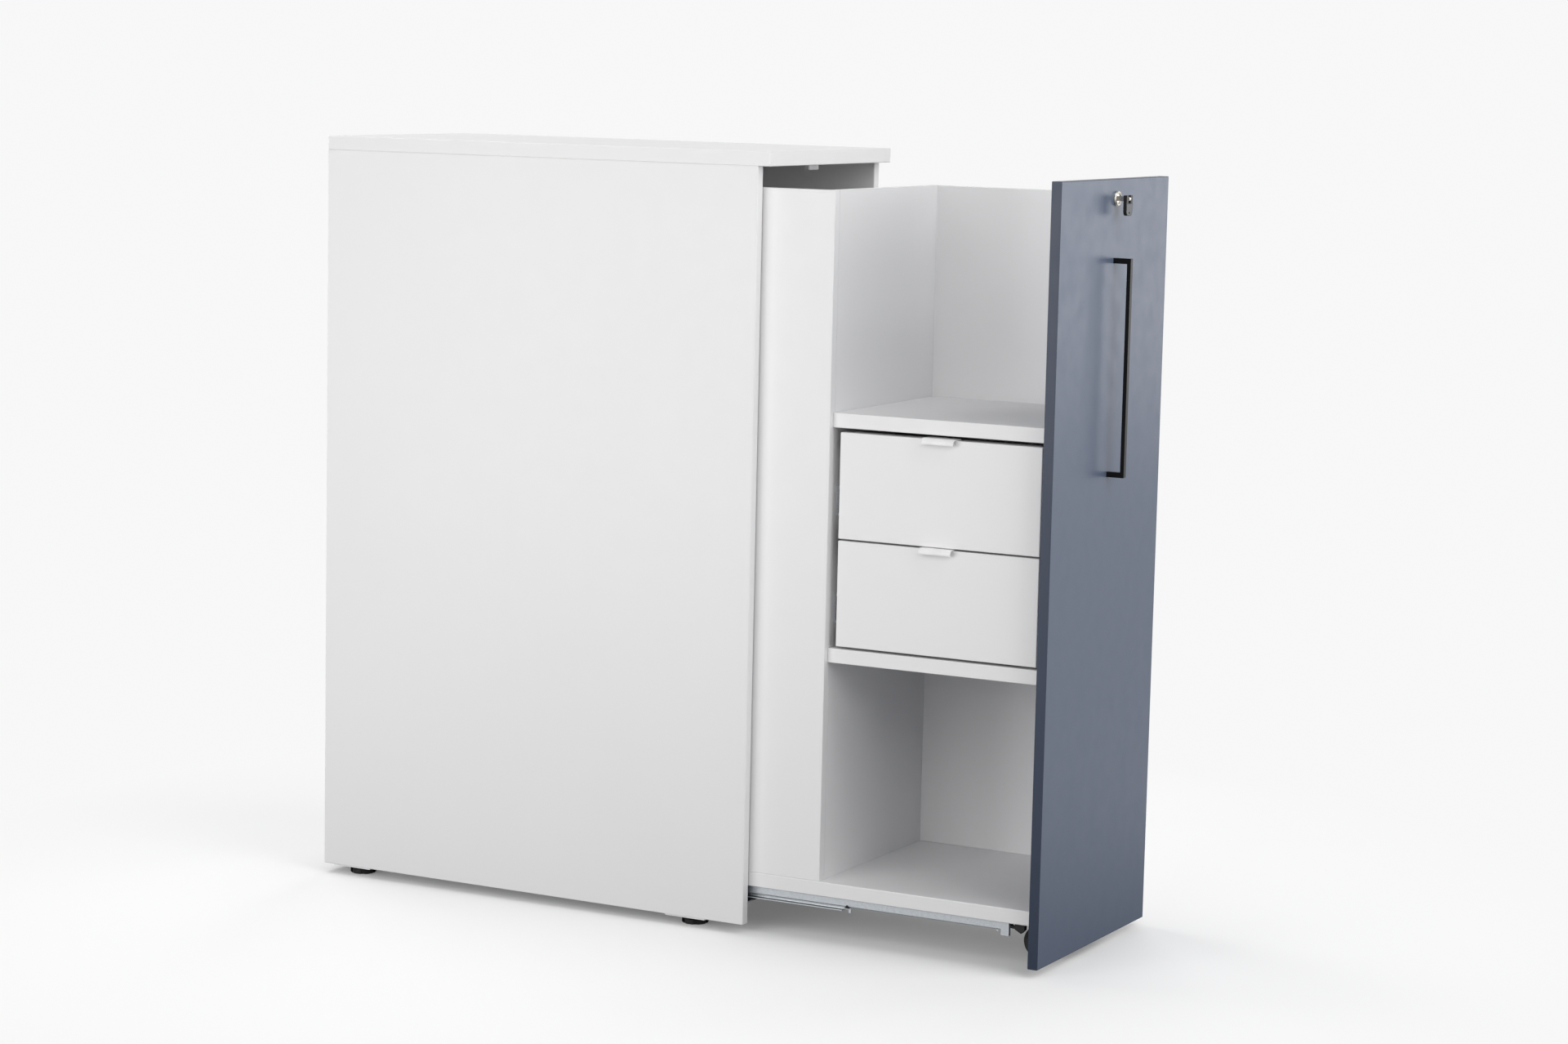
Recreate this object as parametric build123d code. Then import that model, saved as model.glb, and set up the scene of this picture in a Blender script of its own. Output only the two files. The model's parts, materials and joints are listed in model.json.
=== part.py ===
from build123d import *
import math
import os

# A free-standing office cabinet with one tall unit that rolls out of it. Millimetres.
# x runs across the cabinet from its middle, y from the front edges of the sides into
# the depth, and z up from the floor. The unit is drawn pulled out, as it rests.

# Boards
board = 16.0
thick_board = 22.0
thin_board = 12.0
edge_bevel = 0.8

# Carcass
cabinet_width = 400.0
side_depth = 780.0
side_height = 1158.0
floor_gap = 15.0
top_overhang = 20.0
back_thickness = 8.0
back_inset = 8.0
groove_depth = 6.0
groove_play = 0.1
rear_rail_height = 60.0

# Feet
foot_setback_front = 102.0
foot_setback_rear = 54.0
foot_inset = 34.0
foot_diameter = 42.0
foot_rim_height = 8.0
foot_rim_bevel = 1.6
foot_hub_diameter = 20.0
foot_hub_height = 3.0
foot_notches = 6
foot_notch_width = 5.5
foot_notch_depth = 3.0
stud_diameter = 8.0
stud_top = 38.0
stud_play = 0.1
bracket_sheet = 1.5
bracket_length = 70.0
bracket_reach = 52.0
bracket_edge_gap = 0.5
bracket_leg_height = 28.0
bracket_boss_wall = 3.0
bracket_boss_height = 12.0

# Pull-out unit
pulled_out = 477.7
closed_gap = 1.0
unit_side_play = 2.5
unit_length = 600.0
unit_top_gap = 32.0
front_floor_gap = 13.4
front_top_gap = 5.3
castor_height = 73.3
compartment_length = 357.7
shelf_inset = 9.5
shoe_bay_height = 336.2
drawer_bay_height = 334.2

# Pull-out runners, on the section across the runner
rail_length = 500.0
fixed_rail_length = 570.0
fixed_rail_setback = 5.0
moving_rail_setback = 55.7
middle_rail_lead = 263.6
rail_offset = 14.0
rail_sheet = 1.5
rail_bend = 0.8
rail_play = 0.3
moving_rail_width = 10.0
moving_rail_height = 12.8
moving_rail_slot = 3.0
middle_flange_width = 5.6
middle_foot_width = 16.0
upper_roller_diameter = 6.6
lower_roller_diameter = 6.9
middle_rail_height = 10.1
middle_tab_reach = 11.6
middle_tab_width = 4.0
middle_tab_drop = 3.4
base_sheet = 2.0
base_foot_reach = 32.0
base_leg_height = 25.0
base_channel_width = 19.0
base_lip = 3.0
rail_screw_inset = 35.0
rail_screw_drop = 10.0
lip_play = 0.6

# Roller cages between the runner members
cage_rollers = 3
upper_cage_length = 190.0
lower_cage_length = 230.0
upper_cage_start = -156.0
lower_cage_start = 55.0
cage_sheet = 2.0
cage_edge = 0.5
upper_roller_width = 4.0
lower_roller_width = 10.0

# Front hooks and release catches of the moving rails
hook_sheet = 1.5
hook_length = 13.0
hook_height = 21.0
hook_return = 6.0
catch_width = 9.0
catch_length = 15.6
catch_height = 15.1
catch_shoulder = 5.4
catch_setback = 17.9
catch_arm = 3.0

# Castors
castor_wheel_diameter = 50.0
castor_wheel_width = 18.0
castor_setback = 34.4
castor_track = 152.0
castor_axle_diameter = 8.0
castor_play = 0.1
castor_tyre_bevel = 3.0
castor_dish = 3.0
castor_dish_diameter = 34.0
castor_hub_diameter = 16.0
fork_sheet = 2.5
fork_wheel_gap = 2.0
fork_plate_length = 46.0
fork_plate_width = 38.0
fork_eye_radius = 9.0
axle_head_diameter = 12.0
axle_head = 2.0

# Drawers
drawer_slide_gap = 13.5
drawer_top_gap = 6.4
drawer_between_gap = 2.8
drawer_bottom_gap = 3.9
drawer_back_gap = 12.0
drawer_box_lift = 14.0
drawer_box_height = 120.0
drawer_base = 5.0
drawer_base_lift = 10.0
drawer_groove = 5.0

# Drawer slides
slide_end_gap = 6.5
slide_height = 45.0
slide_sheet = 1.2
slide_lift = 32.0
slide_play = 0.3
slide_setback = 3.0
slide_lip_depth = 9.0

# Tab pulls
tab_width = 52.0
tab_sheet = 2.0
tab_play = 1.5
tab_drop = 9.0
tab_root = 18.0
tab_nose_radius = 6.0
tab_bend_radius = 1.5

# Bar handle
handle_length = 326.0
handle_top_gap = 116.4
handle_reach = 28.0
handle_width = 8.0
handle_bar = 6.0
handle_leg = 8.0
handle_corner = 1.0
handle_screw_diameter = 4.0
handle_screw_head = 8.0
handle_screw_head_height = 2.6
handle_screw_grip = 10.0

# Lock
lock_drop = 28.7
lock_flange_diameter = 22.4
lock_flange = 3.0
lock_flange_bevel = 1.0
lock_barrel_diameter = 18.0
lock_barrel_reach = 21.2
lock_nut_width = 24.0
lock_nut_depth = 5.0
lock_nut_play = 0.05
plug_diameter = 13.0
plug_play = 0.1
plug_recess = 0.4
cam_gap = 0.3
cam_sheet = 2.5
cam_width = 14.0
cam_reach = 30.0
cam_square = 7.0
cam_screw_head = 10.0
cam_screw_head_height = 3.0
cam_screw_bevel = 1.0
cam_screw_diameter = 4.0
cam_screw_grip = 8.0
strike_width = 32.0
strike_length = 9.0
strike_height = 9.0
strike_setback = 11.0
strike_bevel = 1.5
strike_screw_diameter = 4.0

# Folding key
key_blade = 2.0
key_blade_height = 7.0
key_blade_depth = 20.0
key_play = 0.1
key_axis_gap = 18.5
key_head_width = 7.0
key_pin_diameter = 2.4
pin_wall = 2.2
bow_width = 22.0
bow_height = 30.0
bow_thickness = 5.3
bow_above_axis = 5.3
bow_fork_depth = 6.2
bow_fork_play = 0.3
bow_rim = 1.2
bow_inlay_depth = 0.8
bow_inlay_play = 0.1
bow_ring_hole = 3.6
bow_ring_lift = 4.4
bow_corner = 7.0

# Screws
wood_screw_head = 7.0

# Places that follow from the sizes
inner_x = cabinet_width / 2 - board
side_top = floor_gap + side_height
top_z = side_top + thick_board
panel_back = -(pulled_out + closed_gap)
panel_face = panel_back - board
handle_face = panel_face - handle_reach
y_middle = (handle_face + side_depth) / 2
unit_x = inner_x - unit_side_play
unit_floor = castor_height + thick_board
unit_top = side_top - unit_top_gap
unit_rear = panel_back + unit_length
cross_y = panel_back + compartment_length
shelf_x = -unit_x + shelf_inset
lower_shelf_z = unit_floor + shoe_bay_height
upper_shelf_z = lower_shelf_z + thick_board + drawer_bay_height
right_inner_x = unit_x - board
left_inner_x = -unit_x + board
front_top = side_top - front_top_gap
lock_z = front_top - lock_drop
handle_top = front_top - handle_top_gap
rail_x = -(inner_x - rail_offset)
tab_reach = unit_side_play + shelf_inset - tab_play


def block(x, y, z):
    """A box between the low and high values on each axis."""
    centre = ((x[0] + x[1]) / 2, (y[0] + y[1]) / 2, (z[0] + z[1]) / 2)
    return Pos(*centre) * Box(x[1] - x[0], y[1] - y[0], z[1] - z[0])


def bevelled(x, y, z):
    """A board whose edge band is eased all round."""
    return chamfer(block(x, y, z).edges(), edge_bevel)


def rod(diameter, start, end, x=0.0, z=0.0):
    """A round bar along y."""
    middle = Pos(x, (start + end) / 2, z)
    return middle * Rot(90, 0, 0) * Cylinder(diameter / 2, end - start)


def rod_x(diameter, start, end, y, z):
    """A round bar along x."""
    return Pos((start + end) / 2, y, z) * Rot(0, 90, 0) * Cylinder(diameter / 2, end - start)


def rod_z(diameter, start, end, x, y):
    """A round bar along z."""
    return Pos(x, y, (start + end) / 2) * Cylinder(diameter / 2, end - start)


def along_y(section, start, end):
    """Extrudes a section drawn in (x, z) from one y to another."""
    return extrude(Plane((0, start, 0), x_dir=(1, 0, 0), z_dir=(0, -1, 0)) * section, start - end)


def along_x(section, start, end):
    """Extrudes a section drawn in (y, z) from one x to another."""
    return extrude(Plane((start, 0, 0), x_dir=(0, 1, 0), z_dir=(1, 0, 0)) * section, end - start)


def folded(points, sheet, bend):
    """The section of a folded sheet that follows a centre line."""
    return trace(FilletPolyline(*points, radius=bend), sheet)


def mirrored(piece):
    """The same piece on the other side of the cabinet."""
    return mirror(piece, about=Plane.YZ)


def save(name, *pieces):
    """Writes the solids of one node, with the origin under the middle of the whole."""
    solids = [solid for piece in pieces for solid in piece.solids()]
    placed = [Pos(0, -y_middle, 0) * solid for solid in solids]
    export_step(placed[0] if len(placed) == 1 else Compound(placed), f"parts/{name}.step")


# Carcass

def side_panel():
    """The left side, grooved for the back panel."""
    panel = bevelled((-cabinet_width / 2, -inner_x), (0, side_depth), (floor_gap, side_top))
    back_y = side_depth - back_inset - back_thickness
    groove = block(
        (-inner_x - groove_depth, -inner_x),
        (back_y - groove_play, back_y + back_thickness + groove_play),
        (floor_gap + rear_rail_height, side_top),
    )
    return panel - groove


def top_board():
    return bevelled(
        (-cabinet_width / 2, cabinet_width / 2), (-top_overhang, side_depth), (side_top, top_z)
    )


def back_panel():
    half = inner_x + groove_depth - groove_play
    back_y = side_depth - back_inset - back_thickness
    return block(
        (-half, half), (back_y, back_y + back_thickness), (floor_gap + rear_rail_height, side_top)
    )


def rear_rail():
    return block(
        (-inner_x, inner_x), (side_depth - board, side_depth), (floor_gap, floor_gap + rear_rail_height)
    )


def strike():
    """The block under the top that the lock cam hooks behind."""
    body = block(
        (-strike_width / 2, strike_width / 2),
        (strike_setback, strike_setback + strike_length),
        (side_top - strike_height, side_top),
    )
    body = chamfer(body.edges().filter_by(Axis.Z), strike_bevel)
    for x in strike_screw_places():
        body -= strike_screw(x)
    return body


def strike_screw_places():
    return (-strike_width / 4, strike_width / 4)


def strike_screw(x):
    """A screw sunk in the strike, which holds it up against the top board."""
    y = strike_setback + strike_length / 2
    return rod_z(strike_screw_diameter, side_top - strike_height, side_top, x, y)


# Levelling feet

def foot_places():
    """Each foot's name with its x and y."""
    x = cabinet_width / 2 - foot_inset
    rear_y = side_depth - foot_setback_rear
    return {
        "foot_front_left": (-x, foot_setback_front),
        "foot_front_right": (x, foot_setback_front),
        "foot_rear_left": (-x, rear_y),
        "foot_rear_right": (x, rear_y),
    }


def foot(x, y):
    """A notched disc that is turned by hand, on its threaded stud."""
    disc = rod_z(foot_diameter, 0, foot_rim_height, x, y)
    sole_edge = disc.edges().filter_by(GeomType.CIRCLE).sort_by(Axis.Z)[0]
    disc = chamfer(sole_edge, foot_rim_bevel)
    notch = Box(2 * foot_notch_depth, foot_notch_width, 2 * foot_rim_height)
    for index in range(foot_notches):
        turn = Rot(0, 0, 360 * (index + 0.5) / foot_notches)
        disc -= Pos(x, y, 0) * turn * Pos(foot_diameter / 2, 0, 0) * notch
    hub = rod_z(foot_hub_diameter, foot_rim_height, foot_rim_height + foot_hub_height, x, y)
    stud = rod_z(stud_diameter, foot_rim_height + foot_hub_height, stud_top, x, y)
    return disc + hub + stud


def foot_bracket(x, y):
    """A plate under the side's edge, with a leg on its inner face and a threaded boss."""
    turn = math.copysign(1, x)
    outer = turn * (cabinet_width / 2 - bracket_edge_gap)
    inner = outer - turn * bracket_reach
    span = (y - bracket_length / 2, y + bracket_length / 2)
    plate = block(sorted((outer, inner)), span, (floor_gap - bracket_sheet, floor_gap))
    leg_x = sorted((turn * inner_x, turn * (inner_x - bracket_sheet)))
    leg = block(leg_x, span, (floor_gap, floor_gap + bracket_leg_height))
    bore = stud_diameter + 2 * stud_play
    boss = rod_z(bore + 2 * bracket_boss_wall, floor_gap, floor_gap + bracket_boss_height, x, y)
    hole = rod_z(bore, floor_gap - bracket_sheet, floor_gap + bracket_boss_height, x, y)
    return plate + leg + boss - hole


# Runners of the pull-out unit

def moving_section():
    """A channel that opens downwards round the head of the middle rail."""
    half = (moving_rail_width - rail_sheet) / 2
    top = castor_height - rail_sheet / 2
    bottom = castor_height - moving_rail_height + rail_sheet / 2
    lip = moving_rail_slot / 2
    points = [
        (rail_x - lip, bottom), (rail_x - half, bottom), (rail_x - half, top),
        (rail_x + half, top), (rail_x + half, bottom), (rail_x + lip, bottom),
    ]
    return folded(points, rail_sheet, rail_bend)


def middle_levels():
    """The top of the middle rail's head and the underside of its foot."""
    race = castor_height - rail_sheet
    head = race - upper_roller_diameter - 2 * rail_play
    return head, head - middle_rail_height


def middle_section():
    """A head, a web and a foot, rolled from one strip."""
    head, under = middle_levels()
    head_part = Pos(rail_x, head - rail_sheet / 2) * Rectangle(middle_flange_width, rail_sheet)
    web_part = Pos(rail_x, (head + under) / 2) * Rectangle(rail_sheet, middle_rail_height)
    foot_part = Pos(rail_x, under + rail_sheet / 2) * Rectangle(middle_foot_width, rail_sheet)
    section = head_part + web_part + foot_part
    inner = [
        point for point in section.vertices()
        if abs(abs(point.X - rail_x) - rail_sheet / 2) < rail_sheet / 4
    ]
    return fillet(inner, rail_bend)


def middle_rail():
    """The middle rail, whose web runs on past the foot into a bent-down stop tab."""
    start, end = rail_spans()["middle"]
    rail = along_y(middle_section(), start, end)
    head, under = middle_levels()
    web_x = (rail_x - rail_sheet / 2, rail_x + rail_sheet / 2)
    tip = start - middle_tab_reach
    web = block(web_x, (tip, start), (under + rail_sheet, head - rail_sheet))
    tab = block(web_x, (tip, tip + middle_tab_width), (under - middle_tab_drop, under + rail_sheet))
    return rail + web + tab


def base_top():
    """The race of the fixed rail."""
    return middle_levels()[1] - lower_roller_diameter - 2 * rail_play


def fixed_section():
    """An angle screwed to the side, with a channel for the middle rail's foot."""
    base = base_top() - base_sheet / 2
    leg = -inner_x + base_sheet / 2
    angle = folded(
        [(leg, base_top() + base_leg_height), (leg, base), (-inner_x + base_foot_reach, base)],
        base_sheet,
        base_sheet,
    )
    lip_z = middle_levels()[1] + rail_sheet + lip_play + rail_sheet / 2
    half = (base_channel_width - rail_sheet) / 2
    walls = []
    for turn in (-1, 1):
        wall_x = rail_x + turn * half
        points = [(wall_x, base_top()), (wall_x, lip_z), (wall_x - turn * base_lip, lip_z)]
        walls.append(folded(points, rail_sheet, rail_bend))
    return angle + walls[0] + walls[1]


def rail_spans():
    """The y range of the fixed, middle and moving rails, pulled out."""
    fixed = (fixed_rail_setback, fixed_rail_setback + fixed_rail_length)
    moving_start = panel_back + moving_rail_setback
    middle_start = moving_start + middle_rail_lead
    return {
        "fixed": fixed,
        "middle": (middle_start, middle_start + rail_length),
        "moving": (moving_start, moving_start + rail_length),
    }


def rail_screw_places():
    """Where the fixed rail is screwed to the side, as (y, z)."""
    start, end = rail_spans()["fixed"]
    z = base_top() + base_leg_height - rail_screw_drop
    return [(start + rail_screw_inset, z), (end - rail_screw_inset, z)]


def fixed_rail():
    rail = along_y(fixed_section(), *rail_spans()["fixed"])
    for y, z in rail_screw_places():
        rail -= rod_x(wood_screw_head, -inner_x, -inner_x + base_sheet, y, z)
    return rail


def rail_screw(y, z):
    """The flat head of a screw, sunk in the fixed rail's leg."""
    return rod_x(wood_screw_head, -inner_x, -inner_x + base_sheet, y, z)


def roller_cage(x, start, length, race, diameter, width):
    """A strip that spaces the rollers, which bulge through it above and below."""
    middle = race - rail_play - diameter / 2
    strip_half = width / 2 + cage_edge
    cage = block(
        (x - strip_half, x + strip_half),
        (start, start + length),
        (middle - cage_sheet / 2, middle + cage_sheet / 2),
    )
    pitch = length / cage_rollers
    for index in range(cage_rollers):
        y = start + pitch * (index + 0.5)
        cage += rod_x(diameter, x - width / 2, x + width / 2, y, middle)
    return cage


def upper_cage(x):
    race = castor_height - rail_sheet
    return roller_cage(
        x, upper_cage_start, upper_cage_length, race, upper_roller_diameter, upper_roller_width
    )


def lower_cage(x):
    race = middle_levels()[1]
    return roller_cage(
        x, lower_cage_start, lower_cage_length, race, lower_roller_diameter, lower_roller_width
    )


def rail_hook():
    """The steel hook at the front of a moving rail: a plate whose front edge is folded in."""
    end = panel_back + moving_rail_setback
    start = end - hook_length
    outer = rail_x - moving_rail_width / 2
    low = castor_height - hook_height
    plate = block((outer, outer + hook_sheet), (start, end), (low, castor_height))
    folded_in = block((outer, outer + hook_return), (start, start + hook_sheet), (low, castor_height))
    flange = block(
        (outer, rail_x + moving_rail_width / 2), (start, end), (castor_height - hook_sheet, castor_height)
    )
    return plate + folded_in + flange


def release_catch():
    """The plastic catch in front of the hook: a pointed block on a curved arm."""
    start = panel_back + catch_setback
    end = start + catch_length
    top = castor_height
    bottom = top - catch_height
    tip = start + catch_length / 3
    shoulder = bottom + catch_shoulder
    outline = Polyline(
        (start, top), (start, shoulder), (tip, bottom), (end, shoulder), (end, top), close=True
    )
    hook_start = panel_back + moving_rail_setback - hook_length
    arm_end = (hook_start, top - hook_sheet - catch_arm)
    arm_low = ((end + hook_start) / 2, (shoulder + arm_end[1]) / 2)
    arm = trace(ThreePointArc((end - catch_arm / 2, shoulder + catch_arm), arm_low, arm_end), catch_arm)
    section = make_face(outline) + arm
    room = Rectangle(hook_start - start, hook_height)
    section &= Pos((start + hook_start) / 2, top - hook_height / 2) * room
    return along_x(section, rail_x - catch_width / 2, rail_x + catch_width / 2)


# Castors under the unit

def castor_y():
    return panel_back + castor_setback


def castor_fork(x):
    """A plate under the bottom board with two legs that taper to the axle."""
    y = castor_y()
    axle_z = castor_wheel_diameter / 2
    plate_z = castor_height - fork_sheet
    half = castor_wheel_width / 2 + fork_wheel_gap
    plate = block(
        (x - fork_plate_width / 2, x + fork_plate_width / 2),
        (y - fork_plate_length / 2, y + fork_plate_length / 2),
        (plate_z, castor_height),
    )
    leg_top = fork_plate_length / 2 - fork_sheet
    outline = Polyline(
        (y - leg_top, plate_z), (y - fork_eye_radius, axle_z), (y + fork_eye_radius, axle_z),
        (y + leg_top, plate_z), close=True,
    )
    leg = make_face(outline) + Pos(y, axle_z) * Circle(fork_eye_radius)
    leg -= Pos(y, axle_z) * Circle(castor_axle_diameter / 2)
    near = along_x(leg, x - half - fork_sheet, x - half)
    far = along_x(leg, x + half, x + half + fork_sheet)
    return plate + near + far


def castor_axle(x):
    """A riveted pin through both legs and the wheel."""
    y = castor_y()
    z = castor_wheel_diameter / 2
    half = castor_wheel_width / 2 + fork_wheel_gap + fork_sheet
    pin = rod_x(castor_axle_diameter, x - half, x + half, y, z)
    heads = rod_x(axle_head_diameter, x - half - axle_head, x - half, y, z)
    heads += rod_x(axle_head_diameter, x + half, x + half + axle_head, y, z)
    return pin + heads


def castor_wheel(x):
    """A bevelled wheel with dished faces and a bore that runs on the axle."""
    y = castor_y()
    z = castor_wheel_diameter / 2
    half = castor_wheel_width / 2
    wheel = rod_x(castor_wheel_diameter, x - half, x + half, y, z)
    wheel = chamfer(wheel.edges().filter_by(GeomType.CIRCLE), castor_tyre_bevel)
    for turn in (-1, 1):
        face = x + turn * half
        dish = sorted((face, face - turn * castor_dish))
        wheel -= rod_x(castor_dish_diameter, *dish, y, z) - rod_x(castor_hub_diameter, *dish, y, z)
    return wheel - rod_x(castor_axle_diameter + 2 * castor_play, x - half, x + half, y, z)


# Boards of the pull-out unit

def front_panel():
    """The slate front, bored for the lock and the handle screws."""
    panel = bevelled(
        (-cabinet_width / 2, cabinet_width / 2), (panel_face, panel_back), (front_floor_gap, front_top)
    )
    panel -= rod(lock_barrel_diameter, panel_face, panel_back, 0, lock_z)
    for z in handle_screw_levels():
        panel -= rod(handle_screw_diameter, panel_face, panel_back, 0, z)
    return panel


def bottom_board():
    return bevelled((-unit_x, unit_x), (panel_back, unit_rear), (castor_height, unit_floor))


def right_panel():
    return bevelled((right_inner_x, unit_x), (panel_back, unit_rear), (unit_floor, unit_top))


def left_panel():
    return bevelled((-unit_x, left_inner_x), (cross_y, unit_rear), (unit_floor, unit_top))


def cross_panel():
    return block((left_inner_x, right_inner_x), (cross_y, cross_y + board), (unit_floor, unit_top))


def rear_panel():
    return block((left_inner_x, right_inner_x), (unit_rear - board, unit_rear), (unit_floor, unit_top))


def shelf(bottom):
    return bevelled((shelf_x, right_inner_x), (panel_back, cross_y), (bottom, bottom + thick_board))


# Handle

def handle_screw_levels():
    inset = handle_leg / 2
    return (handle_top - inset, handle_top - handle_length + inset)


def bar_handle():
    """A flat bar on two square legs, tapped from behind."""
    low = handle_top - handle_length
    bar_back = handle_face + handle_bar
    outline = Polyline(
        (panel_face, handle_top), (handle_face, handle_top), (handle_face, low), (panel_face, low),
        (panel_face, low + handle_leg), (bar_back, low + handle_leg),
        (bar_back, handle_top - handle_leg), (panel_face, handle_top - handle_leg), close=True,
    )
    section = make_face(outline)
    outer = section.vertices().group_by(Axis.X)[0]
    body = along_x(fillet(outer, handle_corner), -handle_width / 2, handle_width / 2)
    for z in handle_screw_levels():
        body -= rod(handle_screw_diameter, panel_face - handle_screw_grip, panel_face, 0, z)
    return body


def handle_screw(z):
    """A pan head behind the front, with its shank up into the handle's leg."""
    shank = rod(handle_screw_diameter, panel_face - handle_screw_grip, panel_back, 0, z)
    head = rod(handle_screw_head, panel_back, panel_back + handle_screw_head_height, 0, z)
    return shank + head


# Lock and key

def lock_face():
    return panel_face - lock_flange


def barrel_end():
    return panel_back + lock_barrel_reach


def lock_housing():
    """Flange and barrel, bored for the plug."""
    flange = rod(lock_flange_diameter, lock_face(), panel_face, 0, lock_z)
    front_edge = flange.edges().filter_by(GeomType.CIRCLE).sort_by(Axis.Y)[0]
    flange = chamfer(front_edge, lock_flange_bevel)
    barrel = rod(lock_barrel_diameter, panel_face, barrel_end(), 0, lock_z)
    bore = rod(plug_diameter + 2 * plug_play, lock_face(), barrel_end(), 0, lock_z)
    return flange + barrel - bore


def lock_nut():
    """The hexagon nut that clamps the barrel behind the front."""
    end = panel_back + lock_nut_depth
    hexagon = Pos(0, lock_z) * RegularPolygon(lock_nut_width / 2, 6, major_radius=False)
    bore = rod(lock_barrel_diameter + 2 * lock_nut_play, panel_back, end, 0, lock_z)
    return along_y(hexagon, panel_back, end) - bore


def lock_plug():
    """The turning core: keyway in front, square tail behind."""
    front = lock_face() + plug_recess
    core = rod(plug_diameter, front, barrel_end(), 0, lock_z)
    half = cam_square / 2
    tail_end = barrel_end() + cam_gap + cam_sheet
    tail = block((-half, half), (barrel_end(), tail_end), (lock_z - half, lock_z + half))
    tap = rod(cam_screw_diameter, tail_end - cam_screw_grip, tail_end, 0, lock_z)
    slot_half = key_blade / 2 + key_play
    slot_rise = key_blade_height / 2 + key_play
    keyway = block(
        (-slot_half, slot_half), (front, front + key_blade_depth + key_play),
        (lock_z - slot_rise, lock_z + slot_rise),
    )
    return core + tail - tap - keyway


def lock_cam():
    """A flat cam that points sideways when unlocked and up when locked."""
    start = barrel_end() + cam_gap
    half = cam_width / 2
    tip = cam_reach - half
    section = Pos(-tip / 2, lock_z) * Rectangle(tip, cam_width)
    section += Pos(0, lock_z) * Circle(half)
    section += Pos(-tip, lock_z) * Circle(half)
    hole = cam_square + 2 * plug_play
    section -= Pos(0, lock_z) * Rectangle(hole, hole)
    return along_y(section, start, start + cam_sheet)


def cam_screw():
    start = barrel_end() + cam_gap + cam_sheet
    shank = rod(cam_screw_diameter, start - cam_screw_grip, start, 0, lock_z)
    head = rod(cam_screw_head, start, start + cam_screw_head_height, 0, lock_z)
    far = head.edges().filter_by(GeomType.CIRCLE).sort_by(Axis.Y)[-1]
    return shank + chamfer(far, cam_screw_bevel)


def key_axis_y():
    return panel_face - key_axis_gap


def key_shank():
    """The blade in the keyway, and the eye that the bow folds on."""
    blade_start = lock_face() + plug_recess + key_blade_depth
    rise = key_blade_height / 2
    blade = block(
        (-key_blade / 2, key_blade / 2), (key_axis_y(), blade_start), (lock_z - rise, lock_z + rise)
    )
    half = key_head_width / 2
    head = rod_x(key_blade_height, -half, half, key_axis_y(), lock_z)
    neck = block((-half, half), (key_axis_y(), lock_face() - key_blade), (lock_z - rise, lock_z + rise))
    return blade + head + neck - rod_x(key_pin_diameter, -half, half, key_axis_y(), lock_z)


def key_pin():
    half = bow_width / 2 - pin_wall
    return rod_x(key_pin_diameter, -half, half, key_axis_y(), lock_z)


def bow_bottom():
    return lock_z + bow_above_axis - bow_height


def bow_front():
    return key_axis_y() - bow_thickness / 2


def bow_outline(top, rim):
    """The grip's outline with round lower corners, a rim's width inside its edge."""
    bottom = bow_bottom() + rim
    sheet = Pos(0, (top + bottom) / 2) * Rectangle(bow_width - 2 * rim, top - bottom)
    return fillet(sheet.vertices().group_by(Axis.Y)[0], bow_corner - rim)


def bow_ring():
    """The hole for a key ring."""
    return Pos(0, bow_bottom() + bow_ring_lift) * Circle(bow_ring_hole / 2)


def key_bow():
    """The folding grip: a forked plate, sunk in front for its inlay."""
    top = lock_z + bow_above_axis
    fork_half = key_head_width / 2 + bow_fork_play
    fork_floor = lock_z - bow_fork_depth
    fork = Pos(0, (top + fork_floor) / 2) * Rectangle(2 * fork_half, top - fork_floor)
    front = bow_front()
    plate = along_y(bow_outline(top, 0) - fork - bow_ring(), front, front + bow_thickness)
    recess = along_y(bow_outline(fork_floor - bow_rim, bow_rim), front, front + bow_inlay_depth)
    pin_room = rod_x(
        key_pin_diameter + 2 * key_play, -bow_width / 2 + pin_wall - key_play,
        bow_width / 2 - pin_wall + key_play, key_axis_y(), lock_z,
    )
    return plate - recess - pin_room


def key_inlay():
    """The soft grey face set into the grip, flush with its rim."""
    rim = bow_rim + bow_inlay_play
    face = bow_outline(lock_z - bow_fork_depth - rim, rim) - bow_ring()
    return along_y(face, bow_front(), bow_front() + bow_inlay_depth)


# Drawers

def drawer_width_span():
    """The y range that the drawer front and its box share."""
    return (panel_back + drawer_slide_gap, cross_y - drawer_slide_gap)


def drawer_front_height():
    gaps = drawer_top_gap + drawer_between_gap + drawer_bottom_gap
    return (drawer_bay_height - gaps) / 2


def drawer_levels():
    """The underside of each drawer front."""
    low = lower_shelf_z + thick_board + drawer_bottom_gap
    return {"lower": low, "upper": low + drawer_front_height() + drawer_between_gap}


def drawer_box_span():
    """The x range of the box behind the drawer front."""
    return (shelf_x + board, right_inner_x - drawer_back_gap)


def drawer_front(level):
    return bevelled(
        (shelf_x, shelf_x + board), drawer_width_span(), (level, level + drawer_front_height())
    )


def drawer_sides(level):
    """Both box sides, grooved for the bottom."""
    near, far = drawer_width_span()
    start, end = drawer_box_span()
    low = level + drawer_box_lift
    base_z = low + drawer_base_lift
    sides = []
    for outer, turn in ((near, 1), (far, -1)):
        inner = outer + turn * thin_board
        side = block((start, end), sorted((outer, inner)), (low, low + drawer_box_height))
        groove_y = sorted((inner, inner - turn * drawer_groove))
        side -= block(
            (start, end), groove_y, (base_z - groove_play, base_z + drawer_base + groove_play)
        )
        sides.append(side)
    return sides


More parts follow.
